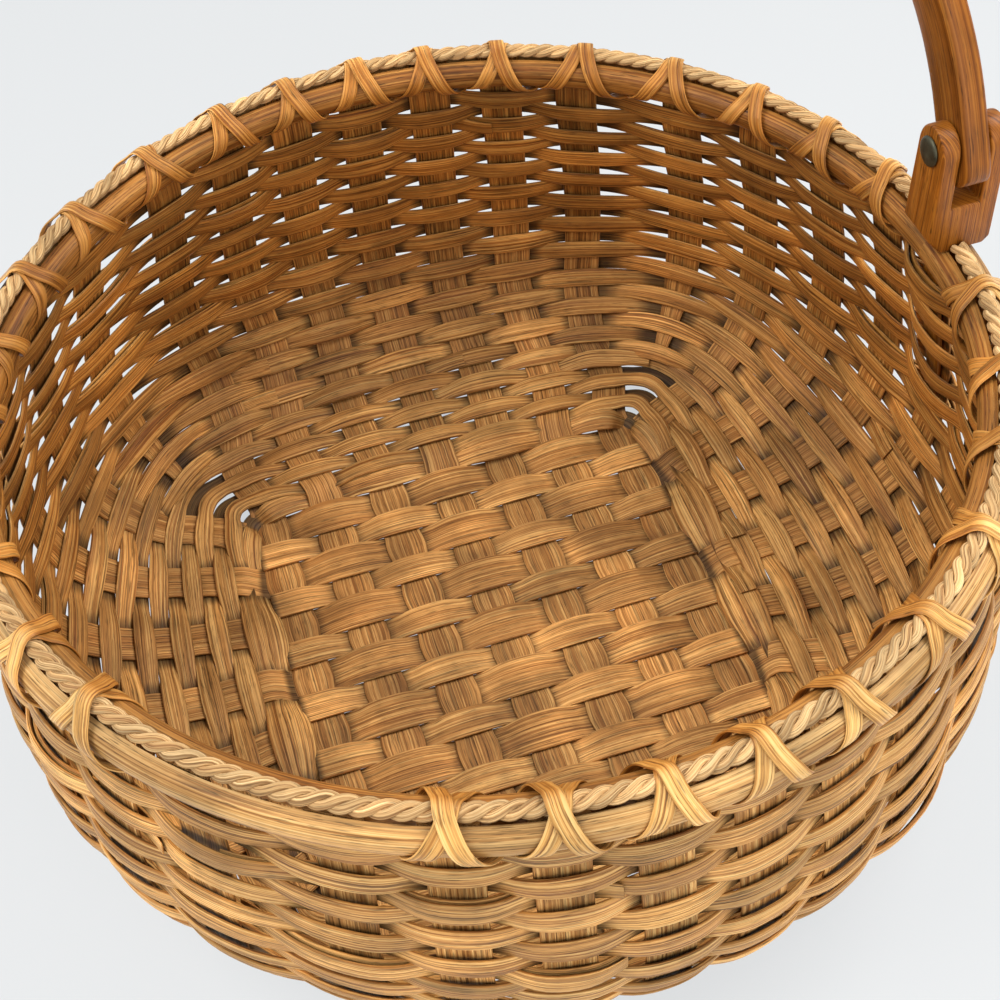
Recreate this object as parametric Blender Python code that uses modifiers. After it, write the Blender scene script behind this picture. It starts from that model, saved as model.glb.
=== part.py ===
"""Splint basket with a square base, a round rim and a swinging bail handle.

Metres, +Z up. The origin is under the middle of the base, on the surface that the basket stands on.
X runs from ear to ear, which is the bail's pivot axis. Flat stakes cross in the base, turn up into the
wall, and every weaver row goes over one upright and under the next, right round.
"""
import math

import bmesh
import bpy
import numpy as np
from mathutils import Matrix, Vector

# Whole basket
rim_radius = 0.146
wall_belly = 0.00113
hoop_top_above_base = 0.1315
clearance = 0.0003
weld_distance = 0.00001

# Profile of the wall: how fast it flares out of the base and draws in to the rim
flare_power = 0.33
draw_in_power = 1.17
corner_squareness = 10.0
base_lift = 0.0046
base_edge_room = 0.0052
base_run_out = 0.0012

# Flat reed
stake_width = 0.0130
stake_thickness = 0.0010
stake_count = 7
stake_pitch = 0.0226
corner_tip_width = 0.0040
corner_first_row = 5
corner_full_row = 12
weaver_thickness = 0.0013
row_count = 26
row_gap = 0.0007
across_rim_degrees = (0.0, 11.2, 22.4, 33.6)
along_rim_degrees = (0.0, 9.8, 19.6, 30.0)
bend_per_knot_degrees = 16.0

# Rim
hoop_height = 0.0105
hoop_thickness = 0.0050
hoop_steps = 48
stake_end_below_hoop_top = 0.0010
cord_radius = 0.0030
lash_width = 0.0050
lash_thickness = 0.0008
lash_room = 0.0036
bare_stakes_start = 23
bare_stakes_end = 24

# Ears, rivets and bail
ear_width = 0.0155
prong_thickness = 0.0055
pivot_above_foot = 0.0330
slot_floor_above_foot = 0.0160
tail_thickness = 0.0024
tail_width = 0.0095
tail_tip_width = 0.0050
tail_rows = 9
bail_width = 0.0170
bail_thickness = 0.0085
bail_straight = 0.0100
bail_rest_degrees = 30.0
bail_edge_round = 0.0012
ear_edge_round = 0.0010
pin_radius = 0.0020
rivet_head_radius = 0.0045
rivet_head_height = 0.0014
cut_overrun = 0.0050

# Worked out from the sizes above. The wall follows the rim and the base follows its stakes
base_half_side = (stake_count // 2) * stake_pitch + stake_width / 2 + base_edge_room
peak_level = flare_power / (flare_power + draw_in_power)
wall_bulge = wall_belly + (rim_radius - base_half_side) * (1 - peak_level)
filler_width = stake_pitch - stake_width - 2 * clearance
weave_step = stake_thickness + clearance
base_middle = weave_step + stake_thickness / 2
hoop_top = base_middle + hoop_top_above_base
hoop_bottom = hoop_top - hoop_height
wall_bottom = base_middle + base_lift
wall_top = hoop_bottom - lash_room
stake_top = hoop_top - stake_end_below_hoop_top
hoop_sag = rim_radius * (1 - math.cos(math.pi / hoop_steps))
stake_sag = stake_width ** 2 / (8 * rim_radius) + hoop_sag
outer_hoop_face = rim_radius + stake_thickness / 2 + clearance + stake_sag
inner_hoop_face = rim_radius - stake_thickness / 2 - tail_thickness - 2 * clearance
rim_middle = (outer_hoop_face + inner_hoop_face) / 2
rim_gap = outer_hoop_face - inner_hoop_face
cord_rise = math.sqrt((cord_radius + clearance) ** 2 - (rim_gap / 2) ** 2)
cord_height = hoop_top + cord_rise
slot_width = bail_thickness + 2 * clearance
ear_thickness = slot_width + 2 * prong_thickness
ear_foot = hoop_top + clearance
pivot_height = ear_foot + pivot_above_foot
collection_name = "splint_basket"
sample_levels = [(index / 400) ** 4 for index in range(401)]


def material(name, colour, roughness, metallic=0.0):
    """A plain Principled material."""
    made = bpy.data.materials.new(name)
    made.use_nodes = True
    shader = made.node_tree.nodes["Principled BSDF"]
    shader.inputs["Base Color"].default_value = (*colour, 1.0)
    shader.inputs["Roughness"].default_value = roughness
    shader.inputs["Metallic"].default_value = metallic
    return made


def new_collection(name):
    """A collection linked to the scene."""
    made = bpy.data.collections.new(name)
    bpy.context.scene.collection.children.link(made)
    return made


def add_object(name, mesh, finish=None):
    """An object in the parts' collection, or in the cutters' one where it has no finish."""
    made = bpy.data.objects.new(name, mesh)
    if finish:
        mesh.materials.append(finish)
        parts.objects.link(made)
    else:
        cutters.objects.link(made)
        made.hide_render = True
        made.display_type = "WIRE"
    return made


def side_radius(level):
    """Half width of the wall, side to side, from level 0 at the base to level 1 under the rim."""
    peak = peak_level ** flare_power * (1 - peak_level) ** draw_in_power
    flare = level ** flare_power * (1 - level) ** draw_in_power / peak
    return base_half_side + (rim_radius - base_half_side) * level + wall_bulge * flare


def turn_share(half_width):
    """How far the wall has turned from the square base, 0, to the round rim, 1."""
    return min(1.0, (half_width - base_half_side) / (rim_radius - base_half_side))


def plan_point(angle, half_width):
    """Point of the plan outline in the direction of an angle."""
    power = 2.0 + corner_squareness * (1 - turn_share(half_width)) ** 3
    total = abs(math.cos(angle)) ** power + abs(math.sin(angle)) ** power
    reach = half_width / total ** (1 / power)
    return Vector((reach * math.cos(angle), reach * math.sin(angle), 0.0))


class Upright:
    """One stake end that stands in the wall. Places up it are counted in weaver rows."""

    def __init__(self, wall_turn, side_place, rim_degrees, corner=False):
        self.corner = corner
        self.rim_angle = wall_turn + math.radians(rim_degrees)
        self.facing_base = self.rim_angle if corner else wall_turn
        self.base_angle = self.rim_angle if corner else wall_turn + math.atan2(side_place, base_half_side)
        self.first_row = corner_first_row if corner else 0
        self.profile = [self.on_wall(level) for level in sample_levels]
        steps = [(high - low).length for low, high in zip(self.profile, self.profile[1:])]
        self.row_places = np.concatenate(([0.0], np.cumsum(steps))) * row_count / sum(steps)
        self.row_pitch = sum(steps) / row_count
        self.knots = self.find_knots()
        self.points = [self.at_place(place) for place in self.knots]
        self.points[0] -= (self.points[1] - self.points[0]).normalized() * base_run_out

    def on_wall(self, level):
        """Point of the wall's middle surface on this upright."""
        half_width = side_radius(level)
        angle = self.base_angle + (self.rim_angle - self.base_angle) * turn_share(half_width)
        point = plan_point(angle, half_width)
        point.z = wall_bottom + (wall_top - wall_bottom) * level
        return point

    def at_place(self, place):
        """Point of the wall's middle surface at a place counted in rows."""
        return self.on_wall(float(np.interp(place, self.row_places, sample_levels)))

    def find_knots(self):
        """Places where the upright bends, always between two rows."""
        knots = [self.first_row]
        last = self.at_place(self.first_row + 1) - self.at_place(self.first_row)
        for row in range(self.first_row + 1, row_count):
            ahead = self.at_place(row + 1) - self.at_place(row)
            if math.degrees(ahead.angle(last)) > bend_per_knot_degrees:
                knots.append(row)
                last = ahead
        return knots + [row_count]

    def frame(self, place):
        """Middle, up, sideways and outward directions where the upright stands at a place."""
        index = 0
        while index < len(self.knots) - 2 and place > self.knots[index + 1]:
            index += 1
        low, high = self.knots[index], self.knots[index + 1]
        middle = self.at_place(low).lerp(self.at_place(high), (place - low) / (high - low))
        up = (self.points[index + 1] - self.points[index]).normalized()
        half_width = side_radius(float(np.interp(place, self.row_places, sample_levels)))
        facing = self.facing_base + (self.rim_angle - self.facing_base) * turn_share(half_width)
        sideways = Vector((-math.sin(facing), math.cos(facing), 0.0))
        sideways = (sideways - up * sideways.dot(up)).normalized()
        return middle, up, sideways, sideways.cross(up)

    def half_width(self, place):
        """Half the upright's width, which grows from a tip on a corner stake."""
        if not self.corner:
            return stake_width / 2
        share = min(1.0, max(0.0, (place - corner_first_row) / (corner_full_row - corner_first_row)))
        return (corner_tip_width + (stake_width - corner_tip_width) * share) / 2

    def ribbon(self):
        """Middles and half widths from the lowest knot to the top, above the wall's last knot."""
        middles, halves = [], []
        for knot, point in zip(self.knots, self.points):
            middles.append(point)
            halves.append(self.frame(knot)[2] * self.half_width(knot))
        top = self.points[-1].copy()
        top.z = stake_top
        middles.append(top)
        halves.append(halves[-1])
        return middles, halves


def side_places():
    """Places of the stakes beside each other in the base, from one side to the other."""
    return [(index - stake_count // 2) * stake_pitch for index in range(stake_count)]


def make_uprights():
    """All uprights in order round the wall, with the two ends of each stake known by side and index."""
    order, ends = [], {}
    for quarter in range(4):
        turn = quarter * math.pi / 2
        angles = along_rim_degrees if quarter % 2 else across_rim_degrees
        for index, place in enumerate(side_places()):
            away = index - stake_count // 2
            degrees = math.copysign(angles[abs(away)], away)
            upright = Upright(turn, place, degrees)
            order.append(upright)
            ends[quarter, index] = upright
        order.append(Upright(turn, 0.0, 45.0, corner=True))
    return order, ends


def shape_ribbon(name, middles, halves, thickness, finish, closed=False):
    """A flat strip through the middles, its half widths given as vectors, made solid by Solidify."""
    count = len(middles)
    mesh = bpy.data.meshes.new(name)
    shape = bmesh.new()
    if closed:
        bmesh.ops.create_cone(shape, cap_ends=False, segments=count, radius1=1, radius2=1, depth=2)
        for vertex in shape.verts:
            index = round(math.atan2(vertex.co.y, vertex.co.x) / (2 * math.pi) * count) % count
            vertex.co = middles[index] + halves[index] * (1 if vertex.co.z > 0 else -1)
    else:
        bmesh.ops.create_grid(shape, x_segments=count - 1, y_segments=1, size=1)
        for vertex in shape.verts:
            index = round((vertex.co.x + 1) / 2 * (count - 1))
            vertex.co = middles[index] + halves[index] * (1 if vertex.co.y > 0 else -1)
    shape.to_mesh(mesh)
    shape.free()
    made = add_object(name, mesh, finish)
    solid = made.modifiers.new("thickness", "SOLIDIFY")
    solid.thickness = thickness
    solid.offset = 0
    solid.use_even_offset = True
    return made


def crossing_points(place, first_over):
    """Base points of a strip along X that goes over one stake and under the next."""
    reach = stake_width / 2 + 2 * clearance
    points = []
    for index, stake_place in enumerate(side_places()):
        over = (index % 2 == 0) == first_over
        height = base_middle + (weave_step if over else -weave_step)
        for side in (-reach, reach):
            points.append(Vector((stake_place + side, place, height)))
    return points


def make_stakes(ends):
    """Stakes along Y lie flat in the base. Stakes along X weave through them. Both turn up at both ends."""
    for index, place in enumerate(side_places()):
        far, far_halves = ends[1, stake_count - 1 - index].ribbon()
        near, near_halves = ends[3, index].ribbon()
        edge = Vector((stake_width / 2, 0.0, 0.0))
        reach = side_places()[-1] + stake_width / 2 + 2 * clearance
        flat = [Vector((place, -reach, base_middle)), Vector((place, reach, base_middle))]
        halves = [half * (1 if half.x > 0 else -1) for half in near_halves[::-1]]
        halves += [edge, edge] + [half * (1 if half.x > 0 else -1) for half in far_halves]
        shape_ribbon(f"stake_along_{index + 1}", near[::-1] + flat + far, halves, stake_thickness, stake_finish)
    for index, place in enumerate(side_places()):
        right, right_halves = ends[0, index].ribbon()
        left, left_halves = ends[2, stake_count - 1 - index].ribbon()
        edge = Vector((0.0, stake_width / 2, 0.0))
        flat = crossing_points(place, first_over=False)
        halves = [half * (1 if half.y > 0 else -1) for half in left_halves[::-1]]
        halves += [edge] * len(flat) + [half * (1 if half.y > 0 else -1) for half in right_halves]
        shape_ribbon(f"stake_across_{index + 1}", left[::-1] + flat + right, halves, stake_thickness, stake_finish)


def make_fillers():
    """Narrower strips between the stakes along X, which end at the edge of the base."""
    edge = Vector((0.0, filler_width / 2, 0.0))
    for index, (low, high) in enumerate(zip(side_places(), side_places()[1:])):
        place = (low + high) / 2
        flat = crossing_points(place, first_over=True)
        shape_ribbon(f"filler_{index + 1}", flat, [edge] * len(flat), stake_thickness, filler_finish)


def make_corner_stakes(uprights):
    """A stake pushed into each corner of the wall, with its tip held by the lowest rows that it meets."""
    corners = [upright for upright in uprights if upright.corner]
    for index, upright in enumerate(corners):
        middles, halves = upright.ribbon()
        shape_ribbon(f"corner_stake_{index + 1}", middles, halves, stake_thickness, stake_finish)


def weave_offsets(frames, halves, gaps, sides):
    """Least offset of the row at each upright that clears its edges, given its neighbours' offsets."""
    offsets = [side * gap for side, gap in zip(sides, gaps)]
    count = len(frames)
    for _ in range(30):
        for index in range(count):
            middle, _, sideways, outward = frames[index]
            least = gaps[index]
            for other in (index - 1, (index + 1) % count):
                there = frames[other][0] + frames[other][3] * offsets[other] - middle
                share = (halves[index] + clearance) / abs(there.dot(sideways))
                need = (gaps[index] - sides[index] * share * there.dot(outward)) / (1 - share)
                least = max(least, need)
            offsets[index] = sides[index] * least
    return offsets


def place_row(uprights, row):
    """Where one row passes each upright: its middle there and its direction up the wall."""
    plain_gap = (stake_thickness + weaver_thickness) / 2 + 2 * clearance
    place = row + 0.5
    standing = [index for index, upright in enumerate(uprights) if upright.first_row <= row]
    frames = [uprights[index].frame(place) for index in standing]
    reaches = [uprights[index].half_width(place) for index in standing]
    sides = [1 if (index + row) % 2 else -1 for index in standing]
    gaps = []
    for index, side in zip(standing, sides):
        at_tail = uprights[index] in ear_uprights and row >= row_count - tail_rows - 1
        gaps.append(plain_gap + (tail_thickness + clearance if at_tail and side < 0 else 0.0))
    offsets = weave_offsets(frames, reaches, gaps, sides)
    middles = [frame[0] + frame[3] * offset for frame, offset in zip(frames, offsets)]
    return {index: (middle, frame[1]) for index, middle, frame in zip(standing, middles, frames)}


def row_widths(uprights, rows):
    """Width of each row at each upright: all the room there, less where two rows cross at a slant."""
    widths = [{index: uprights[index].row_pitch - row_gap for index in row} for row in rows]
    for low, high in zip(range(row_count), range(1, row_count)):
        shared = [index for index in rows[high] if index in rows[low]]
        for first, second in zip(shared, shared[1:] + shared[:1]):
            between = rows[high][first][0] + rows[high][second][0] - rows[low][first][0] - rows[low][second][0]
            up = rows[high][first][1] + rows[high][second][1] + rows[low][first][1] + rows[low][second][1]
            room = between.dot(up.normalized()) / 2 - row_gap
            for row in (low, high):
                for index in (first, second):
                    widths[row][index] = min(widths[row][index], room)
    return widths


def make_rows(uprights):
    """Weaver rows, each a closed ring that starts and stops on itself."""
    rows = [place_row(uprights, row) for row in range(row_count)]
    for number, (row, widths) in enumerate(zip(rows, row_widths(uprights, rows))):
        middles = [middle for middle, _ in row.values()]
        halves = [up * widths[index] / 2 for index, (_, up) in row.items()]
        name = f"weaver_row_{number + 1:02d}"
        shape_ribbon(name, middles, halves, weaver_thickness, weaver_finish, closed=True)


def make_hoop(name, face, outward):
    """Half round hoop turned about Z, flat where it lies on the stakes."""
    points = [(0.0, -0.5), (0.75, -0.32), (1.0, 0.0), (0.75, 0.32), (0.0, 0.5)]
    mesh = bpy.data.meshes.new(name)
    shape = bmesh.new()
    verts = []
    for depth_share, height_share in points:
        x = face + outward * hoop_thickness * depth_share
        z = hoop_bottom + hoop_height * (height_share + 0.5)
        verts.append(shape.verts.new((x, 0.0, z)))
    pairs = list(zip(verts, verts[1:] + verts[:1]))
    for first, second in pairs:
        shape.edges.new((first, second) if outward < 0 else (second, first))
    shape.to_mesh(mesh)
    shape.free()
    made = add_object(name, mesh, hoop_finish)
    turn = made.modifiers.new("turn", "SCREW")
    turn.steps = hoop_steps
    turn.render_steps = hoop_steps
    turn.use_merge_vertices = True
    turn.merge_threshold = weld_distance
    return made


def make_cord(name, start, end):
    """Seagrass cord laid in the groove between the hoops."""
    curve = bpy.data.curves.new(name, "CURVE")
    curve.dimensions = "3D"
    curve.bevel_depth = cord_radius
    curve.bevel_resolution = 1
    curve.use_fill_caps = True
    count = 21
    spline = curve.splines.new("POLY")
    spline.points.add(count - 1)
    for index, point in enumerate(spline.points):
        angle = start + (end - start) * index / (count - 1)
        point.co = (rim_middle * math.cos(angle), rim_middle * math.sin(angle), cord_height, 1)
    return add_object(name, curve, cord_finish)


def lash_outline(layer):
    """The lashing's loop about the rim, from below the outer hoop over the cord to below the inner one."""
    thick = lash_thickness / 2 + clearance
    step = (lash_thickness + 1.5 * clearance) * layer
    low = hoop_bottom - 1.5 * thick - step
    low_out = rim_gap / 2 + hoop_thickness * 0.6 + step / 2
    side_out = rim_gap / 2 + hoop_thickness + 2 * thick + step
    top = cord_height + cord_radius + thick + step
    top_out = cord_radius * 0.85 + step / 2
    half = [(low_out, low), (side_out, hoop_bottom + hoop_height * 0.6), (top_out, top)]
    return half + [(-across - hoop_sag, height) for across, height in half[::-1]]


def make_lashing(name, uprights):
    """One flat strip that laps the rim to the far end and back, crossing over each stake but not the ears."""
    progress_shares = (0.0, 0.26, 0.44, 0.56, 0.74, 1.0)
    angles = [upright.rim_angle for upright in uprights]
    gaps = [(first + second) / 2 for first, second in zip(angles, angles[1:])]
    laps = [(first, second, 0) for first, second in zip(gaps, gaps[1:])]
    laps += [(second, first, 1) for first, second, _ in laps[::-1]]
    middles = []
    for start, end, layer in laps:
        loop = list(zip(progress_shares, lash_outline(layer)))
        beside_ear = any(start < ear.rim_angle + turn < end or end < ear.rim_angle + turn < start
                         for ear in ear_uprights for turn in (0.0, 2 * math.pi))
        for share, (across, height) in loop[:1] if beside_ear else loop:
            angle = start + (end - start) * share
            reach = rim_middle + across
            middles.append(Vector((reach * math.cos(angle), reach * math.sin(angle), height)))
    halves = []
    for index, middle in enumerate(middles):
        before = middles[max(index - 1, 0)]
        after = middles[min(index + 1, len(middles) - 1)]
        along = (after - before).normalized()
        tangent = Vector((-middle.y, middle.x, 0.0)).normalized()
        halves.append((tangent - along * tangent.dot(along)).normalized() * lash_width / 2)
    shape_ribbon(name, middles, halves, lash_thickness, lash_finish)


def make_rim(uprights):
    """Hoops, cord and lashing. The lashing is gone from one stretch of the front, as on the real basket."""
    make_hoop("inner_hoop", inner_hoop_face, -1)
    make_hoop("outer_hoop", outer_hoop_face, 1)
    beside_ear = (ear_width / 2 + 2 * clearance) / inner_hoop_face
    make_cord("rim_cord_back", beside_ear, math.pi - beside_ear)
    make_cord("rim_cord_front", math.pi + beside_ear, 2 * math.pi - beside_ear)
    stretch = uprights[bare_stakes_end:] + uprights[:bare_stakes_start + 1]
    for upright in uprights[:bare_stakes_start + 1]:
        upright.rim_angle += 2 * math.pi
    make_lashing("rim_lashing", stretch)


def box(name, low, high):
    """A box between two corners, for cutting."""
    mesh = bpy.data.meshes.new(name)
    shape = bmesh.new()
    bmesh.ops.create_cube(shape, size=1)
    size = [top - bottom for bottom, top in zip(low, high)]
    centre = [(top + bottom) / 2 for bottom, top in zip(low, high)]
    bmesh.ops.scale(shape, vec=size, verts=shape.verts)
    bmesh.ops.translate(shape, vec=centre, verts=shape.verts)
    shape.to_mesh(mesh)
    shape.free()
    return add_object(name, mesh)


def cross_pin(name, radius, middle, length):
    """A cylinder along X, for cutting."""
    mesh = bpy.data.meshes.new(name)
    shape = bmesh.new()
    turn = Matrix.Translation(middle) @ Matrix.Rotation(math.pi / 2, 4, "Y")
    bmesh.ops.create_cone(shape, cap_ends=True, segments=12, radius1=radius, radius2=radius,
                          depth=length, matrix=turn)
    shape.to_mesh(mesh)
    shape.free()
    return add_object(name, mesh)


def boolean(target, operand, operation):
    """An exact boolean that stays on its object."""
    made = target.modifiers.new(operation.lower(), "BOOLEAN")
    made.operation = operation
    made.object = operand
    made.solver = "EXACT"


def round_edges(target, width):
    """Small rounding on sharp edges."""
    made = target.modifiers.new("rounding", "BEVEL")
    made.width = width
    made.segments = 1
    made.limit_method = "ANGLE"
    made.angle_limit = math.radians(50)


def ear_body(name):
    """Side outline of the ear, round over its pivot, with the thickness of both prongs and the slot."""
    outline = [(-ear_width / 2, ear_foot), (ear_width / 2, ear_foot)]
    for step in range(9):
        angle = math.pi * step / 8
        outline.append((ear_width / 2 * math.cos(angle), pivot_height + ear_width / 2 * math.sin(angle)))
    curve = bpy.data.curves.new(name, "CURVE")
    curve.dimensions = "2D"
    curve.fill_mode = "BOTH"
    curve.extrude = ear_thickness / 2
    spline = curve.splines.new("POLY")
    spline.points.add(len(outline) - 1)
    for point, (across, height) in zip(spline.points, outline):
        point.co = (across, height, 0.0, 1)
    spline.use_cyclic_u = True
    holder = bpy.data.objects.new(name, curve)
    cutters.objects.link(holder)
    bpy.context.view_layer.update()
    mesh = bpy.data.meshes.new_from_object(holder.evaluated_get(bpy.context.evaluated_depsgraph_get()))
    bpy.data.objects.remove(holder)
    shape = bmesh.new()
    shape.from_mesh(mesh)
    bmesh.ops.remove_doubles(shape, verts=shape.verts, dist=weld_distance)
    stand = Matrix(((0, 0, 1, rim_middle), (1, 0, 0, 0), (0, 1, 0, 0), (0, 0, 0, 1)))
    bmesh.ops.transform(shape, matrix=stand, verts=shape.verts)
    shape.to_mesh(mesh)
    shape.free()
    return mesh


def ear_tail(name, upright):
    """Thin tail that runs down between the stake and the rows that pass inside it."""
    inward = stake_thickness / 2 + clearance + tail_thickness / 2
    bottom = row_count - tail_rows
    places = [bottom] + [knot for knot in upright.knots if knot > bottom]
    middles, halves = [], []
    for place in places:
        middle, _, sideways, outward = upright.frame(place)
        share = (place - bottom) / tail_rows
        width = tail_tip_width + (tail_width - tail_tip_width) * share
        middles.append(middle - outward * inward)
        halves.append(sideways * width / 2)
    top = middles[-1].copy()
    top.x = math.copysign(rim_radius - inward, top.x)
    middles[-1].x = top.x
    top.z = ear_foot + slot_floor_above_foot / 2
    middles.append(top)
    halves.append(halves[-1])
    return shape_ribbon(name, middles, halves, tail_thickness, None)


def make_ear(side_name, side, upright):
    """Carved ear: a slotted block on the hoops, with a tail woven into the wall."""
    mesh = ear_body(f"ear_{side_name}")
    if side < 0:
        mesh.transform(Matrix.Rotation(math.pi, 4, "Z"))
    ear = add_object(f"ear_{side_name}", mesh, ear_finish)
    round_edges(ear, ear_edge_round)
    middle = side * rim_middle
    reach = ear_width / 2 + cut_overrun
    top = pivot_height + ear_width / 2 + cut_overrun
    low = (middle - slot_width / 2, -reach, ear_foot + slot_floor_above_foot)
    high = (middle + slot_width / 2, reach, top)
    boolean(ear, box(f"slot_{side_name}", low, high), "DIFFERENCE")
    place = Vector((middle, 0.0, pivot_height))
    length = ear_thickness + 2 * cut_overrun
    boolean(ear, cross_pin(f"ear_bore_{side_name}", pin_radius + clearance, place, length), "DIFFERENCE")
    boolean(ear, ear_tail(f"tail_{side_name}", upright), "UNION")


def make_rivet(side_name, side):
    """Rivet through both prongs and the bail, with a low domed head at each end."""
    half = ear_thickness / 2 + clearance
    crown = half + rivet_head_height
    points = [(0.0, crown), (rivet_head_radius * 0.6, crown - rivet_head_height * 0.2),
              (rivet_head_radius, half + rivet_head_height * 0.3), (rivet_head_radius, half),
              (pin_radius, half)]
    points += [(radius, -height) for radius, height in points[::-1]]
    mesh = bpy.data.meshes.new(f"rivet_{side_name}")
    shape = bmesh.new()
    verts = [shape.verts.new((radius, 0.0, height)) for radius, height in points]
    for first, second in zip(verts, verts[1:]):
        shape.edges.new((first, second))
    shape.to_mesh(mesh)
    shape.free()
    rivet = add_object(f"rivet_{side_name}", mesh, rivet_finish)
    turn = rivet.modifiers.new("turn", "SCREW")
    turn.steps = 14
    turn.render_steps = 14
    turn.use_merge_vertices = True
    turn.merge_threshold = weld_distance
    rivet.location = (side * rim_middle, 0.0, pivot_height)
    rivet.rotation_euler = (0.0, math.pi / 2, 0.0)


def make_bail():
    """Bent wooden bail: a round arch between straight ends, flat in section, swung back as it rests."""
    half = bail_width / 2
    end_shares = ((-0.98, 0.40), (-0.80, 0.72), (-0.45, 0.94), (0.0, 1.0))
    leg = [(rim_middle, share * half, width * half) for share, width in end_shares]
    arch_steps = 24
    arch = []
    for step in range(arch_steps + 1):
        angle = math.pi * step / arch_steps
        arch.append((rim_middle * math.cos(angle), bail_straight + rim_middle * math.sin(angle), half))
    path = leg + arch + [(-across, height, width) for across, height, width in leg[::-1]]
    middles = [Vector((across, 0.0, height)) for across, height, _ in path]
    halves = [Vector((0.0, width, 0.0)) for _, _, width in path]
    bail = shape_ribbon("bail", middles, halves, bail_thickness, bail_finish)
    round_edges(bail, bail_edge_round)
    bail.location = (0.0, 0.0, pivot_height)
    bail.rotation_euler = (-math.radians(bail_rest_degrees), 0.0, 0.0)
    for side_name, side in (("right", 1), ("left", -1)):
        place = Vector((side * rim_middle, 0.0, pivot_height))
        length = bail_thickness + 2 * cut_overrun
        boolean(bail, cross_pin(f"bail_bore_{side_name}", pin_radius + clearance, place, length), "DIFFERENCE")


for old in list(bpy.data.objects):
    bpy.data.objects.remove(old)
parts = new_collection(collection_name)
cutters = new_collection("cutters")
stake_finish = material("oak_splint", (0.42, 0.22, 0.08), 0.55)
filler_finish = material("filler_splint", (0.50, 0.28, 0.11), 0.55)
weaver_finish = material("weaver_reed", (0.56, 0.34, 0.14), 0.5)
hoop_finish = material("hoop_reed", (0.62, 0.38, 0.15), 0.5)
cord_finish = material("seagrass", (0.58, 0.46, 0.28), 0.7)
lash_finish = material("lashing_reed", (0.66, 0.40, 0.14), 0.45)
ear_finish = material("ear_wood", (0.30, 0.11, 0.03), 0.4)
bail_finish = material("bail_wood", (0.36, 0.15, 0.04), 0.4)
rivet_finish = material("aged_brass", (0.10, 0.08, 0.05), 0.5, 0.8)

all_uprights, upright_ends = make_uprights()
ear_uprights = [upright_ends[0, stake_count // 2], upright_ends[2, stake_count // 2]]
make_stakes(upright_ends)
make_fillers()
make_corner_stakes(all_uprights)
make_rows(all_uprights)
make_rim(all_uprights)
for ear_name, ear_side, ear_upright in (("right", 1, ear_uprights[0]), ("left", -1, ear_uprights[1])):
    make_ear(ear_name, ear_side, ear_upright)
    make_rivet(ear_name, ear_side)
make_bail()
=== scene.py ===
from math import atan2, copysign, cos, pi, radians, sin

import bmesh
import bpy
import numpy as np
from bpy.props import FloatProperty, FloatVectorProperty, IntProperty, PointerProperty
from mathutils import Matrix, Vector


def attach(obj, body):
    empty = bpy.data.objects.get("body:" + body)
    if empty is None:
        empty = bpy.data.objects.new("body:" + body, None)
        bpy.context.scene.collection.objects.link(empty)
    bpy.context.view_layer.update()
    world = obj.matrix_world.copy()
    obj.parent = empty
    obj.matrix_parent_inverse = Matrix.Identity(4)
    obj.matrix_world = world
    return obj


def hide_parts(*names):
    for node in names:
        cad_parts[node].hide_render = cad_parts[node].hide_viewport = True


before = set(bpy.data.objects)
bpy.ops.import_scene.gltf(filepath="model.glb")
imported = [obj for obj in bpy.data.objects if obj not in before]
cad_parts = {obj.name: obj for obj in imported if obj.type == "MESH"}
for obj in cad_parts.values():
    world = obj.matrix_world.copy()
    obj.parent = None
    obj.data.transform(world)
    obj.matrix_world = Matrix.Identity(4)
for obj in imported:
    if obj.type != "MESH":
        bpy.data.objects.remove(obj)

bl_info = {
    "name": "Splint basket",
    "version": (1, 0, 0),
    "blender": (4, 5, 0),
    "location": "View3D > Sidebar > Basket",
    "description": "Builds the looks of a woven splint basket with a swinging handle",
    "category": "Add Mesh",
}

# Sizes and counts that the frame's solids have, in metres
rim_radius = 0.146
wall_belly = 0.00113
hoop_top_above_base = 0.1315
clearance = 0.0003
flare_power = 0.33
draw_in_power = 1.17
corner_squareness = 10.0
base_lift = 0.0046
base_edge_room = 0.0052
stake_width = 0.0130
stake_thickness = 0.0010
stake_count = 7
stake_pitch = 0.0226
corner_tip_width = 0.0040
corner_first_row = 5
corner_full_row = 12
row_count = 26
across_rim_degrees = (0.0, 11.2, 22.4, 33.6)
along_rim_degrees = (0.0, 9.8, 19.6, 30.0)
corner_rim_degrees = 45.0
hoop_height = 0.0105
hoop_thickness = 0.0050
stake_end_below_hoop_top = 0.0010
lash_width = 0.0050
lash_thickness = 0.0008
lash_room = 0.0036
bare_stakes_start = 23
bare_stakes_end = 24
ear_width = 0.0155
prong_thickness = 0.0055
pivot_above_foot = 0.0330
slot_floor_above_foot = 0.0160
tail_thickness = 0.0024
tail_width = 0.0095
tail_tip_width = 0.0050
tail_rows = 9
bail_width = 0.0170
bail_thickness = 0.0085
bail_straight = 0.0100
bail_rest_degrees = 30.0
pin_radius = 0.0020
rivet_head_radius = 0.0045
rivet_head_height = 0.0014

# Sizes that only the looks have, in metres
shown_hoop_height = 0.0095
lowest_reed = 0.0030
weld_distance = 0.000002
carved_ear_round = 0.0013
ear_inner_bevel, ear_outer_bevel = 0.0045, 0.0020
stake_flare_share = 0.14
ground_radius = 3.0
film_width = 36
base_step = 0.0012
cord_step = 0.0011
light_target = (0, 0, 0.08)
upward = np.array((0.0, 0.0, 1.0))

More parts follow.
